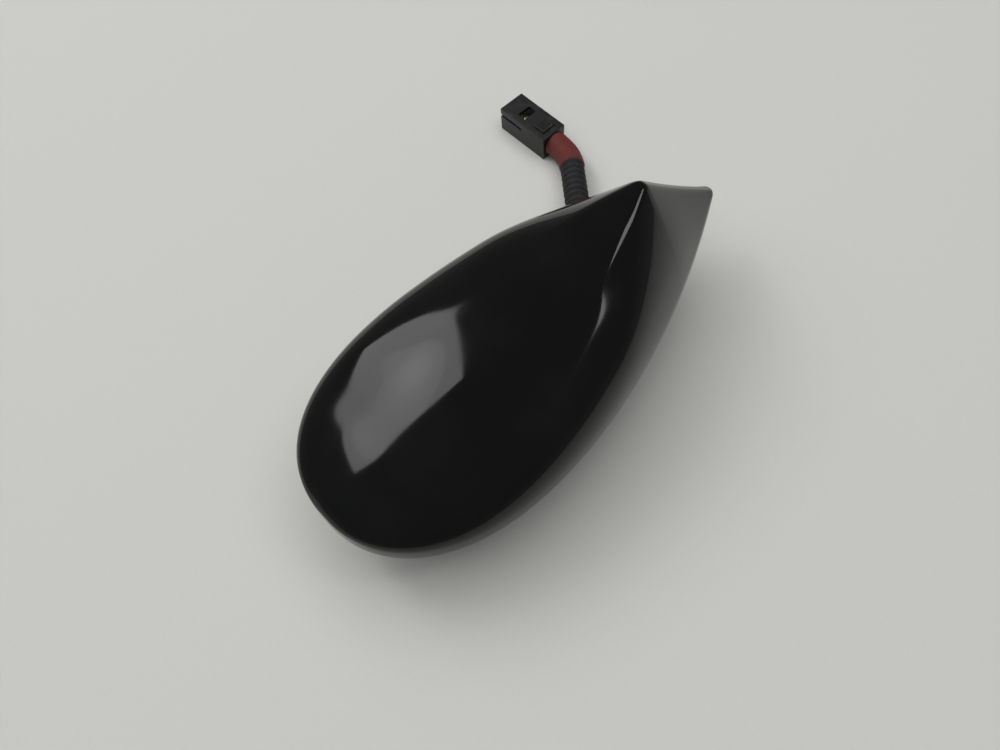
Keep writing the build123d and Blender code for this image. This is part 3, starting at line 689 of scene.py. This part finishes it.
def section(back, inset, spine_steps=14, round_steps=9, flank_steps=26, foot_steps=6):
    """One section from the middle of the spine down the left flank to the rim, in millimetres."""
    wide, rise, crease = half_width(back, inset), spine_rise(back, inset), crease_half(back, inset)
    share = min(1.0, max(0.0, (back - CREASE_START) / (TIP_BACK - CREASE_START)))
    fin = share * share * (3 - 2 * share)
    crown = min(SPINE_CROWN * crease, rise / 2)
    dome_crease = rise * sqrt(1 - (crease / wide) ** 2)
    crease_rise = dome_crease * (1 - fin) + (rise - crown) * fin
    corner, brim = Vector((crease, crease_rise)), Vector((wide, 0))
    turn = acos(crease / wide)
    reach = 4 / 3 * tan(turn / 4)
    eased_rise, eased_crease = eased(sharp_rise, back, inset), eased(crease_half, back, inset)
    bulge = min(MOST_BULGE, FLANK_BULGE * eased_rise)
    third = (wide - eased_crease) / 3
    dome_foot = Vector((wide, DOME_FULL * reach * rise))
    dome_neck = corner + Vector((reach * wide * sin(turn), -reach * rise * cos(turn)))
    fin_foot = Vector((wide - third * (1 - bulge), eased_rise / 3))
    fin_neck = Vector((eased_crease + third * (1 + bulge), eased_rise * 2 / 3))
    foot, neck = dome_foot.lerp(fin_foot, fin), dome_neck.lerp(fin_neck, fin)
    flank = [corner, neck, foot, brim]

    def spine(out):
        """A point on the spine, a distance out from its middle."""
        dome = rise * sqrt(1 - (out / wide) ** 2)
        return Vector((out, dome * (1 - fin) + (rise - crown * (out / crease) ** 2) * fin))

    spine_end = crease - min(CREASE_ROUND, 0.6 * crease)
    flank_start = min(0.25, CREASE_ROUND / (3 * (neck - corner).length))
    flank_end = 1 - min(0.25, FOOT_ROUND / (3 * (foot - brim).length))
    start, stop = spine(spine_end), bezier(flank, flank_start)
    start_run = start - spine(spine_end * 0.999)
    stop_run = bezier(flank, flank_start + 0.001) - stop
    edge = [start, meet(start, start_run, stop, stop_run, corner), stop]
    low, skirt = bezier(flank, flank_end), Vector((wide, -FOOT_ROUND))
    low_run = low - bezier(flank, flank_end - 0.001)
    ledge = [low, meet(low, low_run, skirt, Vector((0, -1)), brim), skirt]
    bottom = RIM - SKIRT_TOP
    points = [spine(spine_end * i / spine_steps) for i in range(spine_steps)]
    points += [bezier(edge, i / round_steps) for i in range(round_steps)]
    span = flank_end - flank_start
    points += [bezier(flank, flank_start + span * i / flank_steps) for i in range(flank_steps)]
    points += [bezier(ledge, i / foot_steps) for i in range(foot_steps + 1)]
    for quarter in (0, 30, 60, 90):
        inward, lift = 1 - cos(radians(quarter)), 1 - sin(radians(quarter))
        shrink = min(RIM_ROUND, wide / 2)
        points.append(Vector((wide - shrink * inward, bottom + shrink * lift)))
    return points


def stations(inset):
    """Distances back from the nose: close-set at the nose, the tip and the tail."""
    tip, end = TIP_BACK - TIP_SHIFT * inset, LENGTH - 2 * inset
    nose_run = WIDEST_BACK - inset
    before, after = tip - TIP_NEAR, tip + TIP_NEAR
    turns = [radians(NOSE_FLAT + (90 - NOSE_FLAT) * i / 48) for i in range(48)]
    front = [WIDEST_BACK - nose_run * cos(turn) for turn in turns]
    climb = [WIDEST_BACK + (before - WIDEST_BACK) * i / 56 for i in range(56)]
    top = [before + (after - before) * i / 20 for i in range(20)]
    trail = [after + (end - TAIL_ROUND - after) * i / 30 for i in range(30)]
    corners = [end - TAIL_ROUND * (1 - sin(radians(90 * i / 8))) for i in range(9)]
    return front + climb + top + trail + corners


def fin_skin(inset):
    """Loops of points of the whole skin, one at each station, from right rim to left rim."""
    loops = []
    for back in stations(inset):
        left = section(back, inset)
        whole = [Vector((-p.x, p.y)) for p in reversed(left[1:])] + left
        loops.append([Vector((NOSE_TO_MOUNT - back, p.x, SKIRT_TOP + p.y)) * MM for p in whole])
    return loops


def skin_mesh(loops):
    """Vertices and faces of a skin, with its nose and tail closed."""
    across = len(loops[0])
    vertices = [point for loop in loops for point in loop]
    faces = []
    for row in range(len(loops) - 1):
        for k in range(across - 1):
            a = row * across + k
            faces.append((a, a + 1, a + across + 1, a + across))
    last = (len(loops) - 1) * across
    half = across // 2
    for start, turned in ((0, True), (last, False)):
        for k in range(half):
            ring = (start + k, start + k + 1, start + across - 2 - k, start + across - 1 - k)
            ring = ring if k < half - 1 else (start + k, start + k + 1, start + across - 1 - k)
            faces.append(tuple(reversed(ring)) if turned else ring)
    return vertices, faces


outer_loops = fin_skin(0.0)
outer, outer_faces = skin_mesh(outer_loops)
inner, inner_faces = skin_mesh(fin_skin(COVER_WALL))
across, rows, shift = len(outer_loops[0]), len(outer_loops), len(outer)
faces = outer_faces + [tuple(reversed([i + shift for i in face])) for face in inner_faces]
right_rim = [row * across for row in range(rows)]
left_rim = [row * across + across - 1 for row in reversed(range(rows))]
rim = right_rim + left_rim
for a, b in zip(rim, rim[1:] + rim[:1]):
    faces.append((a, b, b + shift, a + shift))
mesh = bpy.data.meshes.new("fin")
mesh.from_pydata(outer + inner, [], faces)
mesh.update()
fin = bpy.data.objects.new("fin", mesh)
bpy.context.collection.objects.link(fin)
bpy.ops.object.select_all(action="DESELECT")
fin.select_set(True)
bpy.context.view_layer.objects.active = fin
bpy.ops.object.mode_set(mode="EDIT")
bpy.ops.mesh.select_all(action="SELECT")
bpy.ops.mesh.normals_make_consistent(inside=False)
bpy.ops.object.mode_set(mode="OBJECT")
bpy.ops.object.shade_smooth_by_angle(angle=radians(40))
gloss, shader, here = finish("cover_gloss_black", IOR=1.42)
peel = here.noise(420.0, 2.0)
haze = here.noise(60.0, 4.0).between(0.35, 0.8)
drive(
    shader,
    Base_Color=haze.mix((0.0028, 0.0029, 0.0029, 1), (0.0044, 0.0046, 0.0046, 1)),
    Roughness=0.05 + haze * 0.04,
    Normal=peel.bump(0.012, 0.00005),
)
as_piece(fin, "fin", gloss, "cover_gloss_black", "fin_cover")

# Table: plain pale paper, far wider than the view, that the aerial lies on. It is matt, with
# a fine fibre, and it lies at the lowest point of the pigtail.
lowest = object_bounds()[0][2]
bpy.ops.object.select_all(action="DESELECT")
bpy.ops.mesh.primitive_plane_add(size=8.0, location=(0, 0, lowest))
table = bpy.context.object
table.name = "table"
paper, shader, here = finish("table_paper", Specular_IOR_Level=0.2)
fibre = here.noise(900.0, 4.0)
drive(
    shader,
    Base_Color=fibre.mix((0.565, 0.565, 0.542, 1), (0.590, 0.590, 0.566, 1)),
    Roughness=0.85 + fibre * 0.1,
)
table.data.materials.append(paper)

# Room: dim above and a little paler towards the horizon, as in a plain studio. A tilted window
# lamp with a bright middle shows as the patch on the dome, and a strip lamp as the thin line on
# the near crease. A broad soft lamp that the gloss doesn't mirror lights the table.
world = bpy.context.scene.world or bpy.data.worlds.new("room")
bpy.context.scene.world = world
world.use_nodes = True
tree = world.node_tree
sky = Shade(tree, tree.nodes.new("ShaderNodeTexCoord").outputs["Generated"])
height = sky.node("ShaderNodeSeparateXYZ", out=2, i0=sky)
room = height.between(0.0, 0.5).mix((0.20, 0.20, 0.20, 1), (0.13, 0.13, 0.132, 1))
tree.links.new(room.socket, tree.nodes["Background"].inputs["Color"])
tree.nodes["Background"].inputs["Strength"].default_value = 1.0
dome_patch = Vector((32.0, -8.0, 18.0)) * MM
near_crease = Vector((-26.0, 5.0, 26.0)) * MM


def stand_at(thing, axes, place):
    """Puts a lamp or a camera at a place, turned to three axes."""
    rows = [(*(axis[i] for axis in axes), place[i]) for i in range(3)]
    thing.matrix_world = Matrix(rows + [(0, 0, 0, 1)])


def lamp(name, place, along, across_it, size, radiance, mirrored=True):
    """A flat lamp that shines to its back; radiance is what a mirror would show of it."""
    light = bpy.data.lights.new(name, "AREA")
    light.shape = "RECTANGLE"
    light.size, light.size_y = size
    light.energy = radiance * pi * size[0] * size[1]
    stand = bpy.data.objects.new(name, light)
    bpy.context.collection.objects.link(stand)
    along = along.normalized()
    face = along.cross(across_it).normalized()
    stand_at(stand, (along, face.cross(along), face), place)
    stand.visible_camera = False
    stand.visible_glossy = mirrored
    return stand


def aim(elevation, azimuth):
    """A direction from the aerial, in degrees."""
    up, round_ = radians(elevation), radians(azimuth)
    return Vector((cos(up) * cos(round_), cos(up) * sin(round_), sin(up)))


window_along = Vector((0.2579, 0.9588, 0.1187))
window_across = Vector((-0.5858, 0.0575, 0.8084))
window_place = dome_patch + aim(44.8, -81.3) * 1.5
window_size, window_radiance = (1.215, 0.393), 2.9
lamp("window", window_place, window_along, window_across, window_size, window_radiance)
glow_stretch = 3
glow_place = dome_patch + aim(50.5, -75.8) * 1.38
for wide, radiance in ((0.06, 1.3), (0.10, 1.2), (0.145, 1.0), (0.20, 0.7), (0.26, 0.5)):
    size = (glow_stretch * wide, wide)
    glow = lamp("window_glow", glow_place, window_along, window_across, size, radiance)
    glow.data.shape = "ELLIPSE"
strip_top, strip_foot = aim(71, 113), aim(50, 132)
strip_run = strip_top - strip_foot
strip_out = (strip_top + strip_foot).normalized()
strip_place = near_crease + strip_out * 1.2
strip_size, strip_radiance = (0.484, 0.17), 4.2
lamp("strip", strip_place, strip_run, strip_out.cross(strip_run), strip_size, strip_radiance)
overhead_out = aim(76, -80)
level = overhead_out.cross(Vector((0, 0, 1)))
overhead_place = dome_patch + overhead_out * 1.6
overhead_size, overhead_radiance = (2.6, 2.6), 1.56
lamp(
    "overhead",
    overhead_place,
    level.cross(overhead_out),
    level,
    overhead_size,
    overhead_radiance,
    mirrored=False,
)

# Camera: where the photographer's camera was, above the nose's left side and looking down along
# the fin. Its lens takes in what the photograph shows.
camera = bpy.data.objects.new("camera", bpy.data.cameras.new("camera"))
bpy.context.collection.objects.link(camera)
right = Vector((-0.7259, 0.6863, -0.0443))
forward = Vector((-0.2979, -0.3718, -0.8792)).normalized()
right = (right - forward * right.dot(forward)).normalized()
above = right.cross(forward)
place = Vector((74.44, 82.38, 195.52)) * MM
stand_at(camera, (right, above, -forward), place)
camera.data.sensor_width = 36.0
camera.data.lens = 32.94
camera.data.clip_start = 0.005
bpy.context.scene.camera = camera
bpy.context.scene.view_settings.view_transform = "Standard"
